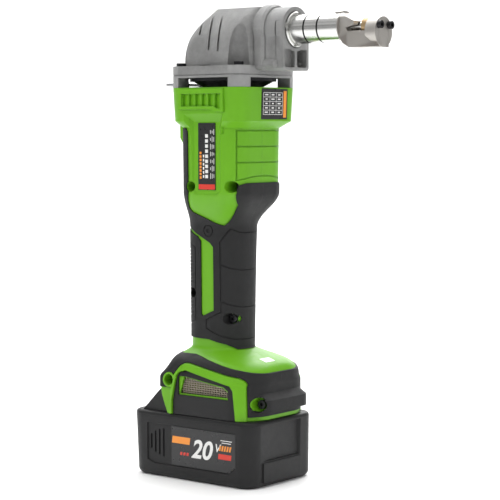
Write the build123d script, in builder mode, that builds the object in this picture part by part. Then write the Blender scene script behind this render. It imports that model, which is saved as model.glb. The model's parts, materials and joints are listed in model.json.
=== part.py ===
from build123d import *
import math
import os

# Cordless nibbler, millimetres. Z runs up the handle and motor axis, +X points along the nose tube,
# and z = 0 is the flat base of the battery pack.

# --- battery pack ---
pack_hy, pack_r = 38.0, 12.0
pack_foot, pack_rim = (-66.2, 45.2), (-68.6, 46.0)   # back and front x at the base and at the rim
tub_top, lid_top = 44.3, 47.4
wall = 2.5
cell_r, cell_len, cell_pitch_x, cell_pitch_z = 9.1, 65.0, 20.2, 19.0
cell_x, cell_z = -11.2, 22.0
tongue_stem, tongue_wing, tongue_top = 22.6, 27.0, 57.8
latch_x, latch_z = -49.9, 55.7

# --- handle and foot ---
foot_z, foot_back = 47.6, -40.0
split_skin = 1.0          # thickness of the rubber over the green shells
shell_wall = 2.6
band_half, band_r, band_z0, band_top = 34.2, 12.0, 258.8, 282.7

# --- gear case, nose and punch ---
flange_z0, flange_z1 = 289.6, 298.0
axis_z = 322.6            # punch axis height
crank_x = 17.25           # crank axis, also the gear centre distance
throw = 1.8               # eccentric radius, so the stroke is 3.6
screw_xy = 26.5
cap_x0, cap_x1, cap_r, cap_half, cap_floor = 41.2, 56.7, 15.9, 15.0, 294.1
ring_r, ring_x0, ring_x1 = 12.3, 50.2, 58.2
tube_r, tube_bore, tube_x0, tube_x1 = 10.2, 8.0, 46.6, 98.8
plunger_r, punch_r, punch_tip = 7.95, 3.3, 120.0
wrist_x, wrist_r = 34.0, 2.5
nose_x0, nose_x1, nose_r, nose_drop = 122.0, 130.6, 10.3, 4.2
jaw_half, jaw_top, die_x0, die_x1 = 8.2, 319.3, 116.0, 120.5

# --- gears and motor ---
gear_module, gear_teeth, pinion_teeth = 0.75, 34, 12
gear_z0, gear_z1 = 294.0, 301.0
shaft_r = 2.5
stator_r, stator_z0, stator_z1 = 23.5, 224.0, 252.0

# Housing screws as (x, z, recess radius, seat y); they run across the joint line from the right side.
shell_screws = [
    (19.4, 212.5, 4.2, -14.0), (-15.7, 212.2, 3.9, -16.0), (8.2, 117.0, 4.7, -9.0),
    (-22.0, 134.8, 4.4, -10.0), (-30.4, 72.2, 4.1, -28.0), (43.2, 59.3, 4.9, -20.0),
]
gear_case_screws_at = [(sx * screw_xy, sy * screw_xy) for sx in (-1, 1) for sy in (-1, 1)]

# Cross-sections of the shells as (z, back x, front x, half width, back corner radius, front corner radius).
foot_low = [(foot_z, -42, 43.4, 36.5, 5.5, 22.4), (72, -42, 43.4, 36.5, 5.5, 22.4)]
foot_top = [(72, -42, 43.4, 36.5, 5.5, 22.4), (77, -39.5, 43, 36, 6.0, 24), (82, -36.8, 42, 34.6, 8.8, 24),
            (85.6, -35.6, 39.2, 32.6, 9.6, 25.5), (89, -34.4, 31, 29, 10.6, 25.5),
            (92, -32.4, 20.5, 23.8, 12.6, 21.5), (94.6, -31.3, 13.8, 20.4, 15.2, 19.4),
            (97.5, -31, 12.6, 19.9, 15.5, 19.2)]
grip = [(97.5, -31, 12.6, 19.9, 15.5, 19.2), (130, -31.1, 13.2, 20.2, 15.5, 19.4),
        (160, -31.2, 13.6, 20.4, 15.5, 19.2), (183, -31.2, 14, 20.8, 16, 18.8)]
neck = [(183, -31.2, 14, 20.8, 16, 18.8), (188, -30.9, 15.4, 21.8, 16.2, 18.4),
        (194, -30.4, 19.1, 24.8, 16.5, 18), (201, -30, 24.2, 28.4, 17, 17.4), (207, -29.9, 26.4, 30, 17, 17)]
motor = [(207, -29.9, 26.4, 30, 17, 17), (253.8, -29.9, 26.8, 30.5, 17, 17)]
shoulder = [(253.8, -29.9, 26.8, 30.5, 17, 17), (band_z0, -33.4, 33.4, 33.4, 12.5, 12.5)]
band = [(band_z0, -33.4, 33.4, 33.4, 12.5, 12.5),
        (band_top, -band_half, band_half, band_half, band_r, band_r)]
foot_lean = [(-60, 66), (-40.2, 66), (-35.6, 54), (-32.1, 46), (-30, 40), (-60, 40)]
shell_runs = [(foot_low, True), (foot_top, False), (grip, False), (neck, False), (motor, True),
              (shoulder, True), (band, True)]

# Gear case sections in the same form.
case_rows = [(flange_z1, -30.2, 33.4, 31, 19, 19), (313, -28.6, 33.4, 29, 18, 18),
             (324, -22.9, 33.4, 24, 15, 15), (332, -16.2, 33.4, 17.5, 11, 11), (339, -9.5, 33.4, 10, 6, 6)]
case_hollow = [(flange_z1, -26.5, 31, 27, 25.5, 25.5), (312, -24.5, 31, 24.5, 22.5, 22.5),
               (323, -17.2, 31, 18, 15.5, 15.5), (331, -11.5, 31, 11.5, 9, 9)]


def run_of_sections(rows, off, drop=0.0, ruled=True):
    """Solid through rounded rectangles, each grown sideways by off and lowered by drop."""
    with BuildPart() as form:
        for z, x0, x1, hy, back_r, front_r in rows:
            with BuildSketch(Plane.XY.offset(z - drop)) as outline:
                with Locations(((x0 + x1) / 2, 0)):
                    Rectangle(x1 - x0 + 2 * off, 2 * (hy + off))
                fillet(outline.vertices().group_by(Axis.X)[-1], max(front_r + off, 0.8))
                fillet(outline.vertices().group_by(Axis.X)[0], max(back_r + off, 0.8))
        loft(ruled=ruled)
    return form.part


def handle_form(off, ends=0.0):
    """Whole handle shape from foot to band; ends lengthens it at both open faces."""
    inward = max(0.0, -off) * 1.1
    sink = 2.2 if off < -2 else 0.0     # keeps the roof of the foot as thick as its walls
    with BuildPart() as form:
        for rows, ruled in shell_runs:
            if rows is foot_low:
                rows = [foot_low[0], (foot_low[1][0] - sink,) + foot_low[1][1:]]
            add(run_of_sections(rows, off, sink if rows is foot_top else 0.0, ruled))
        if sink:
            add(run_of_sections([(foot_top[-1][0] - sink,) + foot_top[-1][1:], foot_top[-1]], off))
        if ends:
            add(run_of_sections([(foot_z - ends,) + foot_low[0][1:], foot_low[0]], off))
            add(run_of_sections([band[-1], (band_top + ends,) + band[-1][1:]], off))
        with Locations((foot_back + 150, 0, 165)):
            Box(300, 120, 300, mode=Mode.INTERSECT)
        # the back of the foot leans forward towards the battery
        add(side_prism([(x + inward, z) for x, z in foot_lean], -60, 60), mode=Mode.SUBTRACT)
    return form.part


def side_prism(points, y0, y1):
    """Prism over an outline drawn in X and Z, reaching from y0 to y1."""
    with BuildPart() as prism:
        with BuildSketch(Plane.XZ.offset(-y1)):
            with BuildLine():
                Polyline(*points, close=True)
            make_face()
        extrude(amount=y1 - y0)
    return prism.part


def top_prism(points, z0, z1):
    """Prism over an outline drawn in X and Y, reaching from z0 to z1."""
    with BuildPart() as prism:
        with BuildSketch(Plane.XY.offset(z0)):
            with BuildLine():
                Polyline(*points, close=True)
            make_face()
        extrude(amount=z1 - z0)
    return prism.part


def front_prism(points, x0, x1):
    """Prism over an outline drawn in Y and Z, reaching from x0 to x1."""
    with BuildPart() as prism:
        with BuildSketch(Plane.YZ.offset(x0)):
            with BuildLine():
                Polyline(*points, close=True)
            make_face()
        extrude(amount=x1 - x0)
    return prism.part


def ribbon(points, width):
    """Closed outline of a strip of the given width along a path."""
    left, right = [], []
    for i, (x, z) in enumerate(points):
        ax, az = points[max(i - 1, 0)]
        bx, bz = points[min(i + 1, len(points) - 1)]
        n = math.hypot(bx - ax, bz - az)
        nx, nz = -(bz - az) / n * width / 2, (bx - ax) / n * width / 2
        left.append((x + nx, z + nz))
        right.append((x - nx, z - nz))
    return left + right[::-1]


def gear_outline(teeth, phase):
    """Involute gear outline with shortened tips and a little backlash."""
    rp = gear_module * teeth / 2
    rb = rp * math.cos(math.radians(20))
    tip, root = rp + 0.75 * gear_module, rp - 1.1 * gear_module
    half = math.pi / (2 * teeth) - 0.05 / rp
    inv = math.tan(math.radians(20)) - math.radians(20)
    flank = [(root, None)] + [(max(rb, root) + (tip - max(rb, root)) * k / 4, k) for k in range(5)]
    points = []
    for t in range(teeth):
        mid = 2 * math.pi * t / teeth + math.radians(phase)
        side = []
        for r, k in flank:
            a = math.acos(min(1.0, rb / max(r, rb)))
            side.append((r, half + inv - (math.tan(a) - a)))
        for r, w in side:
            points.append((r * math.cos(mid - w), r * math.sin(mid - w)))
        for r, w in side[::-1]:
            points.append((r * math.cos(mid + w), r * math.sin(mid + w)))
    return points


def gear(teeth, phase, x, z0, z1):
    """Spur gear blank with its axis along Z."""
    with BuildPart() as blank:
        with BuildSketch(Plane.XY.offset(z0)):
            with BuildLine():
                Polyline(*gear_outline(teeth, phase), close=True)
            make_face()
        extrude(amount=z1 - z0)
    return blank.part.moved(Location((x, 0, 0)))


def half_space(side):
    """Everything on one side of the joint line; side is -1 for right and 1 for left."""
    with BuildPart() as block:
        with Locations((0, side * 60, 170)):
            Box(300, 120, 400)
    return block.part


# ---------------------------------------------------------------- handle shells
core = handle_form(0.0)
hollow = handle_form(-shell_wall, ends=3.0)
skin = handle_form(split_skin)
arch_limit = handle_form(1.6)
panel_floor = handle_form(-1.2)
grip_floor = run_of_sections(grip, 0.45, ruled=False) + run_of_sections(neck, 0.45, ruled=False)
motor_floor = run_of_sections(motor, -0.8)

# Outlines below are drawn in X and Z and pushed across the handle.
arch_out = [(-31, 40), (-29.6, 62), (-26.2, 75.7), (-20.9, 82.8), (-17.5, 84.7), (-14, 84.9), (31.4, 77.8),
            (34.7, 76.2), (36.4, 73.8), (36.9, 40)]
arch_in = [(-27.7, 40), (-27.7, 58.1), (-23.6, 75.8), (-21.2, 78.6), (-15.3, 80.2), (26.1, 72.3),
           (28.4, 69), (30.3, 46.6), (30.6, 40)]
vent_outline = [(-27.4, 40), (-27.4, 58.1), (-23.3, 75.7), (-21, 78.3), (-15.3, 79.8), (25.9, 72),
                (28, 68.9), (29.9, 46.6), (30.2, 40)]
window = [(-17.9, 75.2), (19.1, 69.9), (23.2, 67.1), (23.6, 63.3), (-21.7, 62.8)]
label_floor = [(-12.6, 258.3), (-12.6, 210), (-9.6, 207.4), (8.4, 207.4), (11.2, 210), (11.2, 258.3)]
louvre_frame = [(-22, 281.8), (19.2, 281.8), (19.2, 265.3), (11.4, 265.3), (8.2, 267.2), (-22, 267.2)]
louvre_open = [(-19.4, 278.2), (16.8, 278.2), (16.8, 267.5), (13.9, 267.5), (10.7, 269.3), (-19.4, 269.3)]
panel_sill = [(-24.6, 216.9), (-14.5, 219), (-6, 219.9), (6, 219.9), (14.5, 219), (24.6, 216.9)]
switch_hood = [(-27, 261), (-37.9, 261), (-37.9, 247), (-33.2, 240), (-27, 238)]
upper_rubber = [(40, 216.4), (26.7, 215), (23.4, 213), (23, 208), (21, 199.5), (9, 186.2), (6.4, 184.2),
                (2.6, 185.2), (-18, 193.9), (-20.2, 197), (-19.4, 202), (-17.6, 207.5), (-17.6, 251.5),
                (-19.6, 253.9), (-45, 253.9), (-45, 187), (-27, 183), (-15, 177), (-4.6, 171.6),
                (-2, 168.6), (-2, 122.8), (-12, 118.4), (-13.4, 120), (-13.4, 172.6), (-16.4, 176),
                (-27, 180.2), (-45, 184), (-45, 102.4), (-24.6, 102.3), (-6.1, 101.8), (6.4, 98.3),
                (12, 94.9), (40, 94.4)]
bumper_outline = [(-45, 66.5), (-29.8, 66.5), (-27, 76), (-21.4, 83.4), (-17.7, 85.3), (-13.9, 85.5),
                  (31.6, 78.4), (35.2, 76.7), (37, 74), (37.4, 50.4), (60, 50.4), (60, 79), (43.6, 80.4),
                  (31, 83), (17.6, 85.3), (3.8, 87.8), (-7.5, 90), (-14.6, 91.1), (-22, 91.1), (-45, 90.4)]
groove_paths = [
    [(30, 178.4), (14, 179.2), (9.7, 182), (3.2, 172.3), (3.2, 121.6), (-8.6, 115.8), (-8.8, 110),
     (3.3, 104.4), (11.5, 102), (30, 101.4)],
    [(3.2, 156.2), (9, 153.6), (13.6, 152.2), (30, 152.2)],
    [(3.2, 129.6), (9, 127), (13.4, 125.4), (30, 125.4)],
    [(-40, 172.6), (-28, 171.6), (-18.7, 168.1), (-18.7, 115.5), (-28, 111.6), (-40, 111)],
]
badge_x, badge_z = -5.9, 180.4

# Raised strip round the front of the foot, and the same strip drawn in for the shells under the rubber.
strip_forms = []
for inset in (0.0, 1.2):
    with BuildPart() as strip:
        with BuildSketch(Plane.XY.offset(54 + inset)):
            with Locations((25 - inset / 2, 0)):
                RectangleRounded(49.8 - inset, 2 * (29 - inset), 11.6 - inset)
        extrude(amount=8.2 - 2 * inset)
        with BuildSketch(Plane.XY.offset(62.2 - inset)):
            with Locations((25 - inset / 2, 0)):
                RectangleRounded(49.8 - inset, 2 * (29 - inset), 11.6 - inset)
        extrude(amount=4.6, taper=50)
    strip_forms.append(strip.part)
strip_form, strip_core = strip_forms

with BuildPart() as shell_skin:
    add(core)
    # hood over the switch
    add(side_prism(switch_hood, -15, 15))
    add(hollow, mode=Mode.SUBTRACT)
    # backing behind the rating label
    with Locations((0, -29.7, 258.5)):
        Box(30, 3.6, 17)

with BuildPart() as front_bar:
    x, z, r, seat = shell_screws[5]
    with Locations((x, 0, z)):
        Cylinder(r + 1.2, 58, rotation=(90, 0, 0))
    add(strip_core, mode=Mode.INTERSECT)

with BuildPart() as ribs:
    # rails that hold the battery tongue
    for side in (-1, 1):
        with Locations((1.0, side * 29.4, 49.8)):
            Box(82, 12.2, 3.4)
    # screw bosses across the inside
    for x, z, r, seat in shell_screws:
        with Locations((x, 0, z)):
            Cylinder(r + 1.2, 74, rotation=(90, 0, 0))
    # corner bosses under the gear case, bearing wall and two rings that hold the stator
    for x, y in gear_case_screws_at:
        with Locations((x, y, 271)):
            Cylinder(5.2, 23.4)
    for z, thick in ((201.5, 5.0), (230.0, 2.0), (245.0, 2.0)):
        with Locations((0, 0, z)):
            Box(80, 80, thick)
    add(core, mode=Mode.INTERSECT)
    # bar under the front strip for the front screw
    add(front_bar.part)
    with Locations((0, 0, 240)):
        Cylinder(stator_r, 32, mode=Mode.SUBTRACT)
    with Locations((0, 0, 205)):
        Cylinder(8.0, 12.2, mode=Mode.SUBTRACT)
    # ways through for the motor wires and the switch link
    with Locations((12.5, 0, 201.5)):
        Box(7, 14, 6, mode=Mode.SUBTRACT)
    with Locations((-25.2, 0, 218)):
        Box(5.4, 8, 60, mode=Mode.SUBTRACT)

with BuildPart() as raised_trim:
    # arches round the foot vents and the rim of the rear foot screw hole
    add(side_prism(arch_out, -45, 45) - side_prism(arch_in, -46, 46))
    with Locations((0, 0, 60)):
        Box(100, 60, 60, mode=Mode.SUBTRACT)
    x, z, r, seat = shell_screws[4]
    with Locations((x, -30, z)):
        Cylinder(r + 1.3, 20, rotation=(90, 0, 0))
    add(arch_limit, mode=Mode.INTERSECT)
    add(hollow, mode=Mode.SUBTRACT)

# shallow field inside each foot arch that takes the vent panel
with BuildPart() as vent_field:
    add(core)
    add(panel_floor, mode=Mode.SUBTRACT)
    add(side_prism(arch_in, -45, 45), mode=Mode.INTERSECT)
    with Locations((0, 0, 60)):
        Box(100, 60, 60, mode=Mode.SUBTRACT)

# outline grooves and cross grooves of the front panel
with BuildPart() as panel_grooves:
    for z in (252.2, 240.9, 229.6):
        with Locations((30, 0, z)):
            Box(20, 49.4, 0.9)
    add(front_prism(ribbon(panel_sill, 0.9), 20, 40))
    for side in (-1, 1):
        with Locations(Location((22.8, side * 24.4, 234.6), (0, 0, side * 39.6))):
            Box(3.0, 0.9, 36.0)
    add(motor_floor, mode=Mode.SUBTRACT)

with BuildPart() as shell_pair:
    add(shell_skin.part)
    add(ribs.part)
    add(raised_trim.part)
    # sunk field for the rating label, with sloping walls
    with BuildSketch(Plane.XZ.offset(29.0)):
        with BuildLine():
            Polyline(*label_floor, close=True)
        make_face()
    extrude(amount=7.0, taper=-52, mode=Mode.SUBTRACT)
    for side in (-1, 1):
        y0, y1 = sorted((side * 32.0, side * 35.4))
        add(side_prism(louvre_frame, y0, y1))
        y0, y1 = sorted((side * 34.4, side * 36))
        add(side_prism(louvre_open, y0, y1), mode=Mode.SUBTRACT)
        # blind louvres with slanting floors
        for i in range(6):
            x = -19.0 + 6.0 * i
            add(top_prism([(x, side * 35), (x + 0.4, side * 32.4), (x + 5.0, side * 34.3),
                           (x + 5.0, side * 35)], 269.6 if i < 5 else 267.9, 278.0), mode=Mode.SUBTRACT)
        y0, y1 = sorted((side * 31.0, side * 40))
        add(side_prism(window, y0, y1), mode=Mode.SUBTRACT)
    add(vent_field.part, mode=Mode.SUBTRACT)
    # pit for the chart label on the front of the band
    with Locations(Location((34.2, 4.9, 271.0), (0, 2, 0))):
        Box(1.4, 30.2, 22.0, mode=Mode.SUBTRACT)
    # front panel lines and the slot for the switch stem
    add(panel_grooves.part, mode=Mode.SUBTRACT)
    with Locations((-30, 0, 228.9)):
        Box(9, 8.6, 18.8, mode=Mode.SUBTRACT)
    # room under the hood for the button when it is pushed up
    with Locations((-34.4, 0, 241.5)):
        Box(5.0, 17.8, 7.4, mode=Mode.SUBTRACT)
    # room for the battery tongue above and between the rails
    with Locations((-6.6, 0, 55.2)):
        Box(86.8, 2 * tongue_wing + 1.0, 6.6, mode=Mode.SUBTRACT)
    with Locations((-6.6, 0, 49.5)):
        Box(86.8, 46.4, 6, mode=Mode.SUBTRACT)
    for x, z, r, seat in shell_screws:
        with Locations((x, seat - 30, z)):
            Cylinder(r, 60, rotation=(90, 0, 0), mode=Mode.SUBTRACT)
        with Locations((x, seat / 2, z)):
            Cylinder(2.1, -seat, rotation=(90, 0, 0), mode=Mode.SUBTRACT)
        with Locations((x, 6, z)):
            Cylinder(1.5, 12, rotation=(90, 0, 0), mode=Mode.SUBTRACT)
    for x, y in gear_case_screws_at:
        with Locations((x, y, 275)):
            Cylinder(1.7, 20, mode=Mode.SUBTRACT)

with BuildPart() as rubber_pair:
    add(skin)
    add(core, mode=Mode.SUBTRACT)
    add(side_prism(upper_rubber, -50, 50), mode=Mode.INTERSECT)
    for path in groove_paths:
        add(side_prism(ribbon(path, 0.9), -50, 50) - grip_floor, mode=Mode.SUBTRACT)
    # fine cross ribs on the back of the grip
    with BuildPart() as comb:
        for i in range(20):
            with Locations((-33, 0, 118.6 + 2.5 * i)):
                Box(23, 60, 0.9)
        add(grip_floor, mode=Mode.SUBTRACT)
    add(comb.part, mode=Mode.SUBTRACT)
    # round badge pressed into both sides
    with BuildPart() as badge:
        with Locations((badge_x, 0, badge_z)):
            Cylinder(4.4, 60, rotation=(90, 0, 0))
            Cylinder(3.6, 60, rotation=(90, 0, 0), mode=Mode.SUBTRACT)
            Cylinder(1.5, 60, rotation=(90, 0, 0))
        add(grip_floor, mode=Mode.SUBTRACT)
    add(badge.part, mode=Mode.SUBTRACT)
    with Locations((-34, 0, 250)):
        Box(10, 30.6, 24, mode=Mode.SUBTRACT)
    with Locations((-30, 0, 228.9)):
        Box(9, 8.6, 18.8, mode=Mode.SUBTRACT)
    for x, z, r, seat in shell_screws[:4]:
        with Locations((x, -40, z)):
            Cylinder(r, 70, rotation=(90, 0, 0), mode=Mode.SUBTRACT)
    # rubber sleeves that line the two screw recesses in the grip
    for x, z, r, seat in shell_screws[2:4]:
        with BuildPart() as sleeve:
            with Locations((x, (seat - 32) / 2, z)):
                Cylinder(r, seat + 32, rotation=(90, 0, 0))
                Cylinder(r - 0.7, seat + 32, rotation=(90, 0, 0), mode=Mode.SUBTRACT)
            add(skin, mode=Mode.INTERSECT)
        add(sleeve.part)

with BuildPart() as bumper_pair:
    add(strip_form)
    add(skin)
    add(core, mode=Mode.SUBTRACT)
    add(front_bar.part, mode=Mode.SUBTRACT)
    add(side_prism(bumper_outline, -50, 50), mode=Mode.INTERSECT)
    for (x, z, r, seat), rim in zip(shell_screws[4:], (1.35, 0.4)):
        with Locations((x, -40, z)):
            Cylinder(r + rim, 50, rotation=(90, 0, 0), mode=Mode.SUBTRACT)

right_side, left_side = half_space(-1), half_space(1)

with BuildPart() as right_housing:
    add(shell_pair.part)
    add(right_side, mode=Mode.INTERSECT)

with BuildPart() as left_housing:
    add(shell_pair.part)
    add(left_side, mode=Mode.INTERSECT)

with BuildPart() as right_grip:
    add(rubber_pair.part)
    add(right_side, mode=Mode.INTERSECT)

with BuildPart() as left_grip:
    add(rubber_pair.part)
    add(left_side, mode=Mode.INTERSECT)

with BuildPart() as right_bumper:
    add(bumper_pair.part)
    add(right_side, mode=Mode.INTERSECT)

with BuildPart() as left_bumper:
    add(bumper_pair.part)
    add(left_side, mode=Mode.INTERSECT)

# ---------------------------------------------------------------- gear case and nose
def cap_outline(grow, floor):
    """Nose block outline in Y and Z: round over the punch axis, straight sides down to floor."""
    with BuildSketch() as outline:
        with Locations((0, axis_z)):
            Circle(cap_r + grow)
        with Locations((0, (axis_z + floor) / 2)):
            RectangleRounded(2 * (cap_half + grow), axis_z - floor, 2.5 + grow / 2)
        with Locations((0, axis_z - 4)):
            Rectangle(2 * (cap_half + grow), 8)
    return outline.sketch


case_body = run_of_sections(case_rows, 0.0, ruled=False)
case_cavity = run_of_sections(case_hollow, 0.0, ruled=False)
collar_outline, cap_outline_flat = cap_outline(2.4, cap_floor + 0.3), cap_outline(0.0, cap_floor)
collar_x = cap_x0 - 8.0

# the cavity keeps clear of the wells over the corner screws
with BuildPart() as gear_cavity:
    add(case_cavity)
    for x, y in gear_case_screws_at:
        with Locations((x, y, flange_z1 + 18)):
            Cone(10.4, 8.2, 44, mode=Mode.SUBTRACT)

with BuildPart() as gear_case:
    with BuildSketch(Plane.XY.offset(flange_z0)):
        RectangleRounded(2 * band_half, 2 * band_half, band_r)
    extrude(amount=flange_z1 - flange_z0)
    add(case_body)
    # barrel over the punch axis and the thick collar in front of it
    with Locations((14, 0, axis_z)):
        Cylinder(16.9, 40, rotation=(0, 90, 0))
    with BuildSketch(Plane.YZ.offset(collar_x)):
        add(collar_outline)
    extrude(amount=6.0)
    with BuildSketch(Plane.YZ.offset(collar_x + 6)):
        add(collar_outline)
    extrude(amount=2.0, taper=35)
    # corner legs that leave the cooling gap
    for x, y in gear_case_screws_at:
        with Locations((math.copysign(28.5, x), math.copysign(28.5, y), 286.2)):
            Box(11.4, 11.4, 6.8)
    with BuildSketch(Plane.XY.offset(280)):
        RectangleRounded(2 * band_half, 2 * band_half, band_r)
    extrude(amount=70, mode=Mode.INTERSECT)
    with BuildSketch(Plane.YZ.offset(collar_x)):
        add(collar_outline)
    extrude(amount=6.0)
    with BuildSketch(Plane.YZ.offset(collar_x + 6)):
        add(collar_outline)
    extrude(amount=2.0, taper=35)
    # fine line round the flange
    with BuildSketch(Plane.XY.offset(291.3)):
        RectangleRounded(2 * band_half, 2 * band_half, band_r)
        RectangleRounded(2 * band_half - 0.9, 2 * band_half - 0.9, band_r - 0.4, mode=Mode.SUBTRACT)
    extrude(amount=0.5, mode=Mode.SUBTRACT)
    # cavity for the gears, the rod and the nose bore
    add(gear_cavity.part, mode=Mode.SUBTRACT)
    with Locations((0, 0, 294)):
        Cylinder(31.3, 8.8, mode=Mode.SUBTRACT)
    with Locations((26, 0, axis_z)):
        Cylinder(12.0, 32, rotation=(0, 90, 0), mode=Mode.SUBTRACT)
    with Locations((crank_x, 0, 332)):
        Cylinder(10.4, 9)
    with Locations((crank_x, 0, 331)):
        Cylinder(8.0, 5.2, mode=Mode.SUBTRACT)
    with Locations((crank_x, 0, 328)):
        Cylinder(5.0, 3, mode=Mode.SUBTRACT)
    # tapered wells over the corner screws, and screw holes
    for x, y in gear_case_screws_at:
        with Locations((x, y, flange_z1 + 22)):
            Cone(7.7, 5.2, 44, mode=Mode.SUBTRACT)
        with Locations((x, y, 290)):
            Cylinder(2.2, 30, mode=Mode.SUBTRACT)
    # fin slots on the shoulders
    for side in (-1, 1):
        for x, low in ((-12.4, 320), (-2.9, 309), (5.6, 308)):
            outline = [(-5.8, 336), (10.2 - (low - 308) * 0.57, low), (20, low), (20, 336)]
            slot = front_prism(outline, -0.7, 0.7)
            add(slot.moved(Location((x, side * 20, 0), (0, 0, -26 if side > 0 else 206))), mode=Mode.SUBTRACT)

with BuildPart() as front_cap:
    with BuildSketch(Plane.YZ.offset(cap_x0)):
        add(cap_outline_flat)
    extrude(amount=cap_x1 - cap_x0)
    with Locations((cap_x0 + 4.5, 0, axis_z)):
        Cylinder(12.0, 9, rotation=(0, 90, 0), mode=Mode.SUBTRACT)
    with Locations(((tube_x0 + cap_x1) / 2, 0, axis_z)):
        Cylinder(12.75, cap_x1 - tube_x0, rotation=(0, 90, 0), mode=Mode.SUBTRACT)
    # pockets under the ring with a rib between them
    for side in (-1, 1):
        with BuildSketch(Plane.YZ.offset(cap_x1)):
            with Locations((side * 7.0, 302.6)):
                RectangleRounded(11.2, 12.6, 1.2)
            with Locations((0, axis_z)):
                Circle(15.2, mode=Mode.SUBTRACT)
        extrude(amount=-3.0 if side < 0 else -11.0, mode=Mode.SUBTRACT)
    for side in (-1, 1):
        # side lug, and the upright parting groove
        with Locations((45.2, side * (cap_half - 0.6), 298.8)):
            Cylinder(3.3, 8.0, rotation=(0, 90, 0))
        with Locations((49.2, side * (cap_half - 0.6), 298.8)):
            Sphere(3.3)
        with Locations((50.6, side * cap_r, 318)):
            Box(0.9, 2.4, 28, mode=Mode.SUBTRACT)

with BuildPart() as bearing_plate:
    with Locations((0, 0, 289.4)):
        Cylinder(31.2, 4.0)
    # cone that turns the cooling air outwards
    with Locations((0, 0, 284.7)):
        Cone(18.0, 30.4, 6.4)
    with Locations((0, 0, 286.0)):
        Cylinder(8.0, 5.2, mode=Mode.SUBTRACT)
    with Locations((0, 0, 287)):
        Cylinder(6.0, 14, mode=Mode.SUBTRACT)
    with Locations((crank_x, 0, 289.4)):
        Cylinder(8.0, 4.8, mode=Mode.SUBTRACT)
    with Locations((crank_x, 0, 286)):
        Cylinder(5.5, 4, mode=Mode.SUBTRACT)
    for x, y in gear_case_screws_at:
        with Locations((x, y, 289)):
            Cylinder(6.4, 8, mode=Mode.SUBTRACT)

with BuildPart() as gear_case_screws:
    for x, y in gear_case_screws_at:
        with Locations((x, y, flange_z1 + 1.2)):
            Cylinder(3.5, 2.4)
        with Locations((x, y, flange_z1 + 1.9)):
            Cylinder(1.8, 1.4, mode=Mode.SUBTRACT)
        with Locations((x, y, 283.5)):
            Cylinder(1.65, 29)


def ball_bearing(x, z, r_in, r_out, width):
    """Sealed bearing as two rings with a shield between them."""
    with BuildPart() as bearing:
        with Locations((x, 0, z)):
            Cylinder(r_out, width)
            Cylinder(r_in, width, mode=Mode.SUBTRACT)
        for s in (-1, 1):
            with Locations((x, 0, z + s * width / 2)):
                Cylinder(r_out - 1.3, 0.8, mode=Mode.SUBTRACT)
        with Locations((x, 0, z)):
            Cylinder(r_in + 1.3, width)
            Cylinder(r_in, width, mode=Mode.SUBTRACT)
    return bearing.part


motor_bearing_solids = [ball_bearing(0, 201.5, shaft_r + 0.02, 8.0, 5.0),
                        ball_bearing(0, 286.0, shaft_r + 0.02, 8.0, 5.0)]
crank_bearing_solids = [ball_bearing(crank_x, 289.2, 4.02, 8.0, 4.4),
                        ball_bearing(crank_x, 331.0, 3.52, 8.0, 5.0)]

with BuildPart() as motor_bearings:
    for solid in motor_bearing_solids:
        add(solid)

with BuildPart() as crank_bearings:
    for solid in crank_bearing_solids:
        add(solid)

# ---------------------------------------------------------------- motor
with BuildPart() as stator_core:
    with Locations((0, 0, (stator_z0 + stator_z1) / 2)):
        Cylinder(stator_r, stator_z1 - stator_z0)
        Cylinder(19.8, stator_z1 - stator_z0, mode=Mode.SUBTRACT)
    with PolarLocations(16.6, 6):
        with Locations((0, 0, (stator_z0 + stator_z1) / 2)):
            Box(7.2, 4.6, stator_z1 - stator_z0)
    with Locations((0, 0, (stator_z0 + stator_z1) / 2)):
        Cylinder(13.0, stator_z1 - stator_z0, mode=Mode.SUBTRACT)

with BuildPart() as stator_windings:
    with PolarLocations(16.8, 6):
        with Locations((0, 0, (stator_z0 + stator_z1) / 2)):
            Box(4.2, 9.2, stator_z1 - stator_z0 + 8)
    with PolarLocations(16.8, 6):
        with Locations((0, 0, (stator_z0 + stator_z1) / 2)):
            Box(9.0, 4.7, stator_z1 - stator_z0 + 0.1, mode=Mode.SUBTRACT)
    fillet(stator_windings.edges().filter_by(Axis.Z, reverse=True).group_by(Axis.Z)[-1], 1.2)
    fillet(stator_windings.edges().filter_by(Axis.Z, reverse=True).group_by(Axis.Z)[0], 1.2)

with BuildPart() as sensor_board:
    with Locations((0, 0, 258.3)):
        Cylinder(22.0, 1.4)
        Cylinder(10.0, 1.4, mode=Mode.SUBTRACT)
    with PolarLocations(13.0, 3, start_angle=30):
        with Locations((0, 0, 256.9)):
            Box(2.6, 4.0, 1.4)

with BuildPart() as rotor_core:
    with Locations((0, 0, (stator_z0 + stator_z1) / 2)):
        Cylinder(12.4, 32)
        Cylinder(shaft_r, 32, mode=Mode.SUBTRACT)
    with PolarLocations(9.4, 4):
        with Locations((0, 0, (stator_z0 + stator_z1) / 2)):
            Box(2.0, 10.0, 32, mode=Mode.SUBTRACT)

with BuildPart() as rotor_magnets:
    with PolarLocations(9.4, 4):
        with Locations((0, 0, (stator_z0 + stator_z1) / 2)):
            Box(1.96, 9.96, 31)

with BuildPart() as rotor_shaft:
    with Locations((0, 0, 250.5)):
        Cylinder(shaft_r, 105)
    chamfer(rotor_shaft.edges().filter_by(GeomType.CIRCLE), 0.4)

with BuildPart() as fan:
    with Locations((0, 0, 268.6)):
        Cylinder(26.0, 1.6)
    with Locations((0, 0, 272)):
        Cylinder(6.0, 8.4)
    with PolarLocations(17.0, 11):
        with Locations(Location((0, 0, 273.0), (0, 0, 24))):
            Box(16.0, 1.2, 8.0)
    with Locations((0, 0, 272)):
        Cylinder(26.0, 12, mode=Mode.INTERSECT)
        Cylinder(shaft_r, 12, mode=Mode.SUBTRACT)

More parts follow.
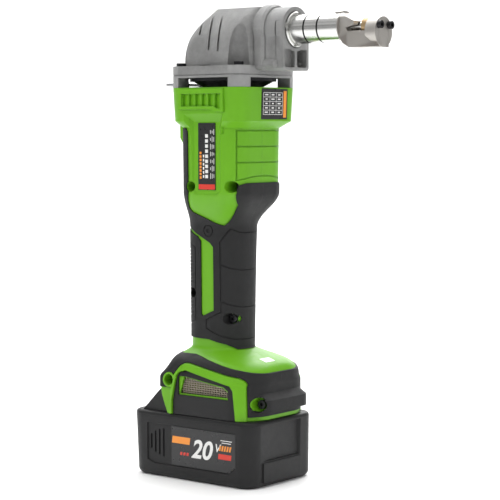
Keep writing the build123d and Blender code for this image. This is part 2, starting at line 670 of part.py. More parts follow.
pinion_blank = gear(pinion_teeth, 15.0, 0, 292.6, 302.4)
crank_gear_blank = gear(gear_teeth, 0.0, crank_x, gear_z0, gear_z1)

with BuildPart() as pinion:
    add(pinion_blank)
    with Locations((0, 0, 297.5)):
        Cylinder(shaft_r, 12, mode=Mode.SUBTRACT)

# ---------------------------------------------------------------- crank, rod and punch
with BuildPart() as crank_gear:
    add(crank_gear_blank)
    with Locations((crank_x, 0, 297.5)):
        Cylinder(5.0, 9, mode=Mode.SUBTRACT)
    for z in (gear_z0, gear_z1):
        with Locations((crank_x, 0, z)):
            Cylinder(10.6, 2.4, mode=Mode.SUBTRACT)
    with Locations((crank_x, 0, 297.5)):
        Cylinder(7.6, 7.0)
        Cylinder(5.0, 9, mode=Mode.SUBTRACT)
    with Locations((crank_x, 0, 297.5)):
        with PolarLocations(9.2, 5):
            Cylinder(1.0, 9, mode=Mode.SUBTRACT)

with BuildPart() as crankshaft:
    with Locations((crank_x, 0, 289.9)):
        Cylinder(4.0, 6.2)
    with Locations((crank_x, 0, 305.2)):
        Cylinder(5.0, 24.6)
    with Locations((crank_x, 0, 305.5)):
        Cylinder(7.4, 8.8)
    with Locations((crank_x, -3.4, 313.6)):
        Box(13.0, 7.0, 7.2)
    with Locations((crank_x, throw, 321.8)):
        Cylinder(5.5, 8.8)
    with Locations((crank_x, 0, 329.8)):
        Cylinder(3.5, 7.2)

with BuildPart() as connecting_rod:
    with Locations((crank_x, throw, axis_z)):
        Cylinder(8.5, 7.0)
    with Locations(((crank_x + wrist_x) / 2, throw, axis_z)):
        Box(wrist_x - crank_x, 9.6, 7.0)
    with BuildSketch(Plane.XY.offset(axis_z - 3.5)):
        with Locations((wrist_x, throw)):
            RectangleRounded(17.2, 13.4, 6.6)
    extrude(amount=7.0)
    with Locations((crank_x, throw, axis_z)):
        Cylinder(5.56, 9, mode=Mode.SUBTRACT)
    with BuildSketch(Plane.XY.offset(axis_z - 4)):
        with Locations((wrist_x, throw)):
            RectangleRounded(2 * (wrist_r + 2 * throw + 0.1), 2 * (wrist_r + throw + 0.1), 4.3)
    extrude(amount=8.0, mode=Mode.SUBTRACT)

with BuildPart() as wrist_pin:
    with Locations((wrist_x, 0, axis_z)):
        Cylinder(wrist_r, 14.6)
    chamfer(wrist_pin.edges().filter_by(GeomType.CIRCLE), 0.4)

with BuildPart() as plunger:
    with Locations((48, 0, axis_z)):
        Cylinder(plunger_r, 36, rotation=(0, 90, 0))
    with Locations((37.8, 0, axis_z)):
        Box(17.6, 18, 7.5, mode=Mode.SUBTRACT)
    with Locations((wrist_x, 0, axis_z)):
        Cylinder(wrist_r, 20, mode=Mode.SUBTRACT)
    for x in (52, 58):
        with Locations((x, 0, axis_z)):
            Cylinder(plunger_r, 0.9, rotation=(0, 90, 0), mode=Mode.SUBTRACT)
            Cylinder(plunger_r - 0.6, 0.9, rotation=(0, 90, 0))
    with Locations((62.2, 0, axis_z)):
        Cylinder(2.4, 8, rotation=(0, 90, 0), mode=Mode.SUBTRACT)

with BuildPart() as punch:
    with Locations(((66 + punch_tip) / 2, 0, axis_z)):
        Cylinder(punch_r, punch_tip - 66, rotation=(0, 90, 0))
    with Locations((62.1, 0, axis_z)):
        Cylinder(2.4, 7.8, rotation=(0, 90, 0))
    # waist behind the cutting lip
    with Locations((109.5, 0, axis_z)):
        Cylinder(punch_r, 7.0, rotation=(0, 90, 0), mode=Mode.SUBTRACT)
        Cylinder(punch_r - 0.7, 7.0, rotation=(0, 90, 0))

# ---------------------------------------------------------------- lock ring, tube and die head
with BuildPart() as lock_ring:
    with Locations(((ring_x0 + ring_x1) / 2, 0, axis_z)):
        Cylinder(ring_r, ring_x1 - ring_x0, rotation=(0, 90, 0))
        Cylinder(tube_r + 0.08, ring_x1 - ring_x0, rotation=(0, 90, 0), mode=Mode.SUBTRACT)
    chamfer(lock_ring.edges().filter_by(GeomType.CIRCLE).sort_by(Axis.X)[-2:], 0.5)
    # four spanner notches in the front face
    with Locations((ring_x1, 0, axis_z)):
        for turn in range(4):
            angle = math.radians(12 + 90 * turn)
            with Locations(Location((0, -11.6 * math.cos(angle), 11.6 * math.sin(angle)),
                                    (-12 - 90 * turn, 0, 0))):
                Box(3.6, 2.6, 3.4, mode=Mode.SUBTRACT)

with BuildPart() as nose_tube:
    with Locations(((tube_x0 + tube_x1) / 2, 0, axis_z)):
        Cylinder(tube_r, tube_x1 - tube_x0, rotation=(0, 90, 0))
    with Locations((tube_x0 + 1.7, 0, axis_z)):
        Cylinder(12.6, 3.4, rotation=(0, 90, 0))
    with Locations(((tube_x0 + tube_x1) / 2, 0, axis_z)):
        Cylinder(tube_bore, tube_x1 - tube_x0, rotation=(0, 90, 0), mode=Mode.SUBTRACT)
    for x in (70.4, 81.8):
        with Locations((x, 0, axis_z)):
            Cylinder(tube_r, 1.0, rotation=(0, 90, 0), mode=Mode.SUBTRACT)
            Cylinder(tube_r - 0.7, 1.0, rotation=(0, 90, 0))
            Cylinder(tube_bore, 1.0, rotation=(0, 90, 0), mode=Mode.SUBTRACT)

with BuildPart() as guide_bush:
    with Locations((90.5, 0, axis_z)):
        Cylinder(tube_bore, 15, rotation=(0, 90, 0))
        Cylinder(punch_r + 0.05, 15, rotation=(0, 90, 0), mode=Mode.SUBTRACT)

# Side outlines of the die head: lower jaw, open space round the punch, and the bevel behind the nose.
jaw = [(99.0, 317), (102.2, 311.6), (107.7, 308.3), (129.2, 308.3), (129.2, 316), (nose_x0 + 2, jaw_top),
       (99.0, jaw_top)]
punch_space = [(105.0, 321.8), (106.6, jaw_top), (die_x0, jaw_top), (die_x0, 336), (111.7, 336),
               (111.7, 323.4)]
top_slope = [(98.8, 332.4), (112.6, 325.8), (112.6, 336), (98.8, 336)]
nose_bevel = [(nose_x0 - 1, 316.6), (129.8, 308.4), (129.8, 305), (nose_x0 - 1, 305)]
nose_z = axis_z - nose_drop
die_screw_y, die_screw_z = 6.1, axis_z + 0.4

with BuildPart() as die_holder:
    # round rear part with flat sides and a sloping top
    with Locations(((tube_x1 + die_x0) / 2, 0, axis_z)):
        Cylinder(10.5, die_x0 - tube_x1, rotation=(0, 90, 0))
    for side in (-1, 1):
        with Locations((108, side * (jaw_half + 5), axis_z)):
            Box(17.4, 10, 30, mode=Mode.SUBTRACT)
    add(side_prism(top_slope, -15, 15), mode=Mode.SUBTRACT)
    # key on top of the tube end
    with BuildPart() as tube_key:
        with Locations((96.0, 0, axis_z)):
            Cylinder(11.2, 5.6, rotation=(0, 90, 0))
            Cylinder(tube_r, 5.6, rotation=(0, 90, 0), mode=Mode.SUBTRACT)
        with Locations((96.0, 2, axis_z + 10)):
            Box(6, 12, 10, mode=Mode.INTERSECT)
    add(tube_key.part)
    add(side_prism(jaw, -jaw_half, jaw_half))
    with Locations(((nose_x0 + nose_x1) / 2, 0, nose_z)):
        Cylinder(nose_r, nose_x1 - nose_x0, rotation=(0, 90, 0))
    for y0, y1 in ((-15, -jaw_half), (jaw_half, 15)):
        add(side_prism(nose_bevel, y0, y1), mode=Mode.SUBTRACT)
    add(side_prism(punch_space, -15, 15), mode=Mode.SUBTRACT)
    # bore for the punch, seat of the die and the pocket that takes the punch tip
    with Locations((107, 0, axis_z)):
        Cylinder(punch_r + 0.2, 18, rotation=(0, 90, 0), mode=Mode.SUBTRACT)
    with Locations(((die_x0 + die_x1) / 2, 0, axis_z)):
        Cylinder(5.8, die_x1 - die_x0, rotation=(0, 90, 0), mode=Mode.SUBTRACT)
    with Locations((123.0, 0, axis_z)):
        Cylinder(punch_r + 0.2, 6, rotation=(0, 90, 0), mode=Mode.SUBTRACT)
    # chip outlet and tapped holes in the end face
    with Locations((128, 0, axis_z + 0.6)):
        Cylinder(1.5, 12, rotation=(0, 90, 0), mode=Mode.SUBTRACT)
    for side in (-1, 1):
        with Locations((127.6, side * die_screw_y, die_screw_z)):
            Cylinder(1.5, 10, rotation=(0, 90, 0), mode=Mode.SUBTRACT)

with BuildPart() as die_insert:
    with Locations(((die_x0 + die_x1) / 2, 0, axis_z)):
        Cylinder(5.8, die_x1 - die_x0, rotation=(0, 90, 0))
        Cylinder(punch_r + 0.06, die_x1 - die_x0, rotation=(0, 90, 0), mode=Mode.SUBTRACT)

with BuildPart() as die_screws:
    for side in (-1, 1):
        with Locations((nose_x1 + 1.4, side * die_screw_y, die_screw_z)):
            Cylinder(2.7, 2.8, rotation=(0, 90, 0))
            Cylinder(1.4, 2.8, rotation=(0, 90, 0), mode=Mode.SUBTRACT)
        with Locations((nose_x1 + 0.4, side * die_screw_y, die_screw_z)):
            Cylinder(1.6, 0.8, rotation=(0, 90, 0))
        with Locations((nose_x1 - 3, side * die_screw_y, die_screw_z)):
            Cylinder(1.45, 6, rotation=(0, 90, 0))

# ---------------------------------------------------------------- switch and electronics
with BuildPart() as switch_button:
    with BuildSketch(Plane.YZ.offset(-32.0)):
        with Locations((0, 224)):
            RectangleRounded(17, 26, 5)
    extrude(amount=-3.4)
    for i in range(5):
        with Locations((-35.6, 0, 216 + 4 * i)):
            Box(1.6, 12, 1.5)
    with Locations((-29.6, 0, 225)):
        Box(4.8, 8.0, 10)

with BuildPart() as switch_link:
    with Locations((-26.6, 0, 209.5)):
        Box(1.2, 6.0, 41)

with BuildPart() as switch_module:
    with Locations((-19.5, 0, 170)):
        Box(17, 13, 30)
    with Locations((-27.0, 0, 187)):
        Box(1.6, 4, 4)
    for y in (-4, 0, 4):
        with Locations((-16, y, 153)):
            Box(4, 0.8, 5)

with BuildPart() as control_board:
    with Locations((5, 0, 70)):
        Box(56, 46, 1.6)
    for i in range(6):
        with Locations((-18 + 6.4 * i, 14, 72.4)):
            Box(4.6, 6.4, 3.2)
    for y in (-12, -1):
        with Locations((20, y, 76)):
            Cylinder(4.6, 10.4)
    for x, y in ((-12, -12), (-18, 0)):
        with Locations((x, y, 71.6)):
            Box(7, 7, 1.6)

with BuildPart() as terminal_block:
    with Locations((25, 0, 62)):
        Box(18, 36, 7.6)
    with Locations((25, 0, 67.5)):
        Box(12, 20, 3.4)
    for y in (-13, -5, 5, 13):
        with Locations((25, y, 62)):
            Box(14, 1.0, 12, mode=Mode.SUBTRACT)

with BuildPart() as terminal_blades:
    for y in (-13, -5, 5, 13):
        with Locations((25, y, 60)):
            Box(13.8, 0.9, 14.4)

with BuildPart() as motor_wires:
    for y in (-5, 0, 5):
        with BuildLine() as run:
            Polyline((10.8, y, 220.6), (10.8, y, 197), (-4, y * 0.8, 184), (-4, y * 0.8, 72.5))
        with BuildSketch(Plane(origin=(10.8, y, 220.6), z_dir=(0, 0, -1))):
            Circle(1.3)
        sweep(path=run.line, transition=Transition.ROUND)

# ---------------------------------------------------------------- battery pack
def rounded_pack(inset, z0, z1):
    """Block with the pack's plan shape, leaning outwards slightly, shrunk by inset."""
    with BuildPart() as block:
        for z in (z0, z1):
            back, front = (low + (high - low) * z / lid_top for low, high in zip(pack_foot, pack_rim))
            with BuildSketch(Plane.XY.offset(z)):
                with Locations(((back + front) / 2, 0)):
                    RectangleRounded(front - back - 2 * inset, 2 * (pack_hy - inset), pack_r - inset)
        loft(ruled=True)
    return block.part


pack_outer = rounded_pack(0, 0, tub_top)
pack_inner = rounded_pack(wall, wall, tub_top)
lid_outer = rounded_pack(0, tub_top, lid_top)
lid_inner = rounded_pack(wall, tub_top, tub_top + 1.0)
hump = side_prism([(-61.0, 45.5), (-43.9, 62.4), (-40.7, 65.2), (-36.05, 53.9), (-33.2, 47.0)], -33.5, 33.5)
hump_hollow = [(-57.4, 44), (-57.4, 45.8), (-42.6, 60.6), (-41.0, 60.2), (-38.1, 53.1), (-35.4, 46.2),
               (-35.4, 44)]
side_recess = [(-51.2, 39), (-51.2, 11.9), (-44.5, 9.5), (26, 9.7), (31.8, 14.4), (31.8, 39)]
label_plate = [(-28, 38.6), (-28, 10.4), (25.8, 10.4), (31.4, 14.8), (31.4, 38.6)]
front_channel = [(46.6, -29.8), (43.9, -15), (43.9, 18), (46.6, 20.2), (48, 20.2), (48, -29.8)]
cell_centres = [(cell_x + cell_pitch_x * i, cell_z + cell_pitch_z * (k - 0.5))
                for i in range(-2, 3) for k in (0, 1)]

with BuildPart() as battery_tub:
    add(pack_outer)
    fillet(battery_tub.faces().sort_by(Axis.Z)[0].edges(), 4.5)
    add(pack_inner, mode=Mode.SUBTRACT)
    for side in (-1, 1):
        # sunk side field, with finger slots at its back end
        y0, y1 = sorted((side * (pack_hy - 0.8), side * (pack_hy + 1)))
        add(side_prism(side_recess, y0, y1), mode=Mode.SUBTRACT)
        for i, height in enumerate((10.6, 15.5, 18.7, 20.5)):
            with Locations((-47.6 + 3.95 * i, side * (pack_hy - 0.8), 25.5)):
                Box(1.7, 2.0, height, mode=Mode.SUBTRACT)
    # channel and step on the front end, with a backing inside
    with Locations((42.6, -4.5, 30.5)):
        Box(2.4, 56, 27.4)
    add(top_prism(front_channel, 18.6, tub_top + 1), mode=Mode.SUBTRACT)
    with Locations((45.6, -2.2, 10.5)):
        Box(1.6, 43.5, 14)
    for x in (-54, 32):
        for y in (-28, 28):
            with Locations((x, y, 0.8)):
                Cylinder(3.2, 1.6, mode=Mode.SUBTRACT)
            with Locations((x, y, 2.0)):
                Cylinder(1.3, 1.2, mode=Mode.SUBTRACT)

with BuildPart() as battery_lid:
    add(lid_outer)
    fillet(battery_lid.faces().sort_by(Axis.Z)[-1].edges(), 2.6)
    add(hump)
    with Locations((0.3, 0, 50)):
        Box(72, 2 * tongue_stem, 5.2)
    with Locations((0.3, 0, (52 + tongue_top) / 2)):
        Box(72, 2 * tongue_wing, tongue_top - 52)
    with Locations((-38.0, 0, 50.0)):
        Box(6, 2 * tongue_stem, 5.2)
    with Locations((-38.0, 0, (52 + tongue_top) / 2)):
        Box(6, 2 * tongue_wing, tongue_top - 52)
    with Locations((0.3, 0, 49.4)):
        Box(66, 40, 13.2, mode=Mode.SUBTRACT)
    add(lid_inner, mode=Mode.SUBTRACT)
    for side in (-1, 1):
        y0, y1 = sorted((side * 14.8, side * 31.0))
        add(side_prism(hump_hollow, y0, y1), mode=Mode.SUBTRACT)
    # terminal slots, open towards the front
    for y in (-13, -5, 5, 13):
        with Locations((27.5, y, 54.4)):
            Box(22, 2.2, 10, mode=Mode.SUBTRACT)
    # pocket for the release button, square to the rear slope
    with Locations(Location((latch_x, 0, latch_z), (0, -45, 0))):
        with Locations((0, 0, 0.8)):
            Box(13.0, 26.4, 14.0, mode=Mode.SUBTRACT)

with BuildPart() as release_button:
    with Locations(Location((latch_x, 0, latch_z), (0, -45, 0))):
        with Locations((0, 0, -0.8)):
            Box(12.4, 25.8, 5.0)
        for i in range(3):
            with Locations((-3.6 + 3.6 * i, 0, 2.0)):
                Box(1.4, 20, 1.2)

with BuildPart() as release_spring:
    with Locations(Location((latch_x, 0, latch_z), (0, -45, 0))):
        for k in range(3):
            with Locations((0, 0, -5.8 + 1.0 * k)):
                Torus(3.0, 0.4)

with BuildPart() as battery_cells:
    for x, z in cell_centres:
        with Locations((x, 0, z)):
            Cylinder(cell_r, cell_len, rotation=(90, 0, 0))

with BuildPart() as cell_holder:
    for side in (-1, 1):
        with Locations((cell_x, side * 31.0, cell_z)):
            Box(102, 6.8, 39.0)
        for x, z in cell_centres:
            with Locations((x, side * 31.0, z)):
                Cylinder(cell_r + 0.05, 8, rotation=(90, 0, 0), mode=Mode.SUBTRACT)
        # slots for the links across the cell ends
        for i in range(-2, 3):
            with Locations((cell_x + cell_pitch_x * i, side * 33.7, cell_z)):
                Box(9.4, 2.4, 30.4, mode=Mode.SUBTRACT)
    add(rounded_pack(wall + 0.1, wall, tub_top), mode=Mode.INTERSECT)

with BuildPart() as cell_links:
    for side in (-1, 1):
        for i in range(-2, 3):
            with Locations((cell_x + cell_pitch_x * i, side * 32.75, cell_z)):
                Box(9, 0.3, 30)

with BuildPart() as battery_board:
    with Locations((0, 0, 46.2)):
        Box(62, 40, 1.4)
    for x in (-18, -4):
        with Locations((x, 8, 47.9)):
            Box(8, 8, 2.0)

with BuildPart() as battery_contacts:
    for y in (-13, -5, 5, 13):
        for s in (-1, 1):
            with Locations((25, y + s * 0.8, 50.4)):
                Box(10, 0.5, 7.0)
        with Locations((25, y, 47.2)):
            Box(10, 2.1, 0.6)

with BuildPart() as battery_labels:
    for side in (-1, 1):
        y0, y1 = sorted((side * (pack_hy - 0.8), side * (pack_hy - 0.35)))
        add(side_prism(label_plate, y0, y1))

with BuildPart() as battery_screws:
    for x in (-54, 32):
        for y in (-28, 28):
            with Locations((x, y, 0.95)):
                Cylinder(2.8, 1.3)
            with Locations((x, y, 0.6)):
                Cylinder(1.1, 0.7, mode=Mode.SUBTRACT)
            with Locations((x, y, 2.0)):
                Cylinder(1.2, 0.9)

# ---------------------------------------------------------------- small outside pieces
with BuildPart() as housing_screws:
    for x, z, r, seat in shell_screws:
        with Locations((x, seat - 1.3, z)):
            Cylinder(3.2, 2.6, rotation=(90, 0, 0))
        with Locations((x, seat - 1.8, z)):
            Cylinder(1.3, 1.6, rotation=(90, 0, 0), mode=Mode.SUBTRACT)
        with Locations((x, (10 + seat) / 2, z)):
            Cylinder(1.45, 10 - seat, rotation=(90, 0, 0))

with BuildPart() as rating_label:
    with Locations((-0.5, -29.25, 233.8)):
        Box(15.8, 0.5, 47.6)

with BuildPart() as chart_label:
    with Locations(Location((33.7, 4.9, 271.0), (0, 2, 0))):
        Box(0.4, 29.8, 21.6)

with BuildPart() as foot_sticker:
    add(run_of_sections(foot_top, 0.3, ruled=False))
    add(run_of_sections(foot_top, 0.0, ruled=False), mode=Mode.SUBTRACT)
    with Locations((33.4, -3.4, 88)):
        Box(6.0, 10.5, 8, mode=Mode.INTERSECT)

with BuildPart() as hex_key:
    with BuildLine() as key_path:
        Polyline((-43.6, -22, 285.6), (-37.0, -22, 285.6), (-37.0, 26, 285.6))
    with BuildSketch(Plane(origin=(-43.6, -22, 285.6), z_dir=(1, 0, 0))):
        RegularPolygon(1.45, 6, major_radius=False)
    sweep(path=key_path.line, transition=Transition.ROUND)

with BuildPart() as key_clips:
    for y in (-12, 12):
        with Locations((-36.4, y, 282.8)):
            Box(5.2, 5.0, 9.4)
    add(core, mode=Mode.SUBTRACT)
    with Locations((-37.0, 0, 285.6)):
        Cylinder(1.75, 60, rotation=(90, 0, 0), mode=Mode.SUBTRACT)
    with Locations((-38.6, 0, 285.6)):
        Box(3.2, 60, 2.4, mode=Mode.SUBTRACT)

with BuildPart() as foot_filters:
    for side in (-1, 1):
        y0, y1 = sorted((side * 32.4, side * 33.0))
        window = [(-22.3, 62), (-22.3, 75.5), (-15, 75.5), (19.8, 71.0), (23.8, 68.4), (23.8, 62)]
        add(side_prism(window, y0, y1))

with BuildPart() as vent_panels:
    add(core)
    add(panel_floor, mode=Mode.SUBTRACT)
    add(side_prism(vent_outline, -45, 45) - side_prism(window, -46, 46), mode=Mode.INTERSECT)
    with Locations((0, 0, 60)):
        Box(100, 60, 60, mode=Mode.SUBTRACT)

# ---------------------------------------------------------------- files
os.makedirs("parts", exist_ok=True)

right_housing.part.label = "right_housing"
export_step(right_housing.part, "parts/right_housing.step")

left_housing.part.label = "left_housing"
export_step(left_housing.part, "parts/left_housing.step")

right_grip.part.label = "right_grip"
export_step(right_grip.part, "parts/right_grip.step")

left_grip.part.label = "left_grip"
export_step(left_grip.part, "parts/left_grip.step")

right_bumper.part.label = "right_bumper"
export_step(right_bumper.part, "parts/right_bumper.step")

left_bumper.part.label = "left_bumper"
export_step(left_bumper.part, "parts/left_bumper.step")

gear_case.part.label = "gear_case"
export_step(gear_case.part, "parts/gear_case.step")

front_cap.part.label = "front_cap"
export_step(front_cap.part, "parts/front_cap.step")

bearing_plate.part.label = "bearing_plate"
export_step(bearing_plate.part, "parts/bearing_plate.step")

gear_case_screws.part.label = "gear_case_screws"
export_step(gear_case_screws.part, "parts/gear_case_screws.step")

motor_bearings.part.label = "motor_bearings"
export_step(motor_bearings.part, "parts/motor_bearings.step")

crank_bearings.part.label = "crank_bearings"
export_step(crank_bearings.part, "parts/crank_bearings.step")

stator_core.part.label = "stator_core"
export_step(stator_core.part, "parts/stator_core.step")

stator_windings.part.label = "stator_windings"
export_step(stator_windings.part, "parts/stator_windings.step")

sensor_board.part.label = "sensor_board"
export_step(sensor_board.part, "parts/sensor_board.step")

rotor_core.part.label = "rotor_core"
export_step(rotor_core.part, "parts/rotor_core.step")

rotor_magnets.part.label = "rotor_magnets"
export_step(rotor_magnets.part, "parts/rotor_magnets.step")

rotor_shaft.part.label = "rotor_shaft"
export_step(rotor_shaft.part, "parts/rotor_shaft.step")

fan.part.label = "fan"
export_step(fan.part, "parts/fan.step")

pinion.part.label = "pinion"
export_step(pinion.part, "parts/pinion.step")

crank_gear.part.label = "crank_gear"
export_step(crank_gear.part, "parts/crank_gear.step")

crankshaft.part.label = "crankshaft"
export_step(crankshaft.part, "parts/crankshaft.step")

connecting_rod.part.label = "connecting_rod"
export_step(connecting_rod.part, "parts/connecting_rod.step")

wrist_pin.part.label = "wrist_pin"
export_step(wrist_pin.part, "parts/wrist_pin.step")

plunger.part.label = "plunger"
export_step(plunger.part, "parts/plunger.step")

punch.part.label = "punch"
export_step(punch.part, "parts/punch.step")

lock_ring.part.label = "lock_ring"
export_step(lock_ring.part, "parts/lock_ring.step")

nose_tube.part.label = "nose_tube"
export_step(nose_tube.part, "parts/nose_tube.step")

guide_bush.part.label = "guide_bush"
export_step(guide_bush.part, "parts/guide_bush.step")

die_holder.part.label = "die_holder"
export_step(die_holder.part, "parts/die_holder.step")

die_insert.part.label = "die_insert"
export_step(die_insert.part, "parts/die_insert.step")

die_screws.part.label = "die_screws"
export_step(die_screws.part, "parts/die_screws.step")

switch_button.part.label = "switch_button"
export_step(switch_button.part, "parts/switch_button.step")

switch_link.part.label = "switch_link"
export_step(switch_link.part, "parts/switch_link.step")

switch_module.part.label = "switch_module"
export_step(switch_module.part, "parts/switch_module.step")

control_board.part.label = "control_board"
export_step(control_board.part, "parts/control_board.step")

terminal_block.part.label = "terminal_block"
export_step(terminal_block.part, "parts/terminal_block.step")

terminal_blades.part.label = "terminal_blades"
export_step(terminal_blades.part, "parts/terminal_blades.step")

motor_wires.part.label = "motor_wires"
export_step(motor_wires.part, "parts/motor_wires.step")

battery_tub.part.label = "battery_tub"
export_step(battery_tub.part, "parts/battery_tub.step")

battery_lid.part.label = "battery_lid"
export_step(battery_lid.part, "parts/battery_lid.step")

release_button.part.label = "release_button"
export_step(release_button.part, "parts/release_button.step")

release_spring.part.label = "release_spring"
export_step(release_spring.part, "parts/release_spring.step")

battery_cells.part.label = "battery_cells"
export_step(battery_cells.part, "parts/battery_cells.step")

cell_holder.part.label = "cell_holder"
export_step(cell_holder.part, "parts/cell_holder.step")

cell_links.part.label = "cell_links"
export_step(cell_links.part, "parts/cell_links.step")

battery_board.part.label = "battery_board"
export_step(battery_board.part, "parts/battery_board.step")

battery_contacts.part.label = "battery_contacts"
export_step(battery_contacts.part, "parts/battery_contacts.step")

battery_labels.part.label = "battery_labels"
export_step(battery_labels.part, "parts/battery_labels.step")

battery_screws.part.label = "battery_screws"
export_step(battery_screws.part, "parts/battery_screws.step")

housing_screws.part.label = "housing_screws"
export_step(housing_screws.part, "parts/housing_screws.step")

rating_label.part.label = "rating_label"
export_step(rating_label.part, "parts/rating_label.step")

chart_label.part.label = "chart_label"
export_step(chart_label.part, "parts/chart_label.step")

foot_sticker.part.label = "foot_sticker"
export_step(foot_sticker.part, "parts/foot_sticker.step")

hex_key.part.label = "hex_key"
export_step(hex_key.part, "parts/hex_key.step")

key_clips.part.label = "key_clips"
export_step(key_clips.part, "parts/key_clips.step")

foot_filters.part.label = "foot_filters"
export_step(foot_filters.part, "parts/foot_filters.step")

vent_panels.part.label = "vent_panels"
export_step(vent_panels.part, "parts/vent_panels.step")
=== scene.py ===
import json
import math

import bmesh
import bpy
from mathutils import Matrix, Vector


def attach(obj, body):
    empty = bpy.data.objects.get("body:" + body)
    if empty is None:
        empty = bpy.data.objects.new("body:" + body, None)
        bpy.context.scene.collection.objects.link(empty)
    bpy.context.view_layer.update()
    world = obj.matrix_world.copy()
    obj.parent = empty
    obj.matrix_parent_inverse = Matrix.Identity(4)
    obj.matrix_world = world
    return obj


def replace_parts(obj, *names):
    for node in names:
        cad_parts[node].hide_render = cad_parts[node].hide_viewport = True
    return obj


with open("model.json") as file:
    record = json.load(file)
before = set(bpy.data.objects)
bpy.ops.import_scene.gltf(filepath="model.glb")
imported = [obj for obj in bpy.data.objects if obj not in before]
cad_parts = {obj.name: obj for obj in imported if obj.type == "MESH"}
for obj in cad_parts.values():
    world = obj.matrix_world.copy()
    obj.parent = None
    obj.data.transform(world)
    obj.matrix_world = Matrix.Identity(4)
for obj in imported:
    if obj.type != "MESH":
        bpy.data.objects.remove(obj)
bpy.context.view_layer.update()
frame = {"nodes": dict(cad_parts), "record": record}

MM = 0.001

# sizes in millimetres and places shared by the pieces built here
FILTER_BOX = (-22.2, 23.8, 62.2, 75.4)  # x and z reach of the woven filters
FILTER_DEPTH = 32.75  # distance of the weave from the centre plane
WIRE_PITCH, WIRE_WAVE, WIRE_RADIUS = 1.55, 0.22, 0.30
BATTERY_LABEL_Y, RATING_LABEL_Y, CHART_LABEL_X = 37.65, -29.5, 33.9
CHART_MIDDLE_Z, CHART_LEAN = 0.271, 0.0335  # metres, and slope of the label's face
INK_LOW, INK_HIGH = 0.02, 0.06
SHARP_ANGLE = math.radians(28)

# camera and stage, in degrees and metres
AZIMUTH, ELEVATION, ROLL = math.radians(38.585), math.radians(4.083), math.radians(-0.126)
TARGET, CAMERA_DISTANCE, LENS_MM, SENSOR_MM = Vector((0.015155, 0, 0.16616)), 1.217395, 121.46, 36
LIGHT_AIM = Vector((0, 0, 0.2))


# ---------------------------------------------------------------- materials
def noise(n, l, coord, scale, detail=4.0, rough=0.55, stretch=None):
    """Noise on object coordinates, stretched if asked; returns its Fac output."""
    if stretch:
        mapping = n.new("ShaderNodeMapping")
        mapping.inputs["Scale"].default_value = stretch
        l.new(coord, mapping.inputs["Vector"])
        coord = mapping.outputs["Vector"]
    t = n.new("ShaderNodeTexNoise")
    t.inputs["Scale"].default_value = scale
    t.inputs["Detail"].default_value = detail
    t.inputs["Roughness"].default_value = rough
    l.new(coord, t.inputs["Vector"])
    return t.outputs["Fac"]


def remap(n, l, fac, lo, hi, a, b):
    """Maps fac between lo and hi to a..b."""
    r = n.new("ShaderNodeMapRange")
    for key, value in zip(("From Min", "From Max", "To Min", "To Max"), (lo, hi, a, b)):
        r.inputs[key].default_value = value
    l.new(fac, r.inputs["Value"])
    return r.outputs["Result"]


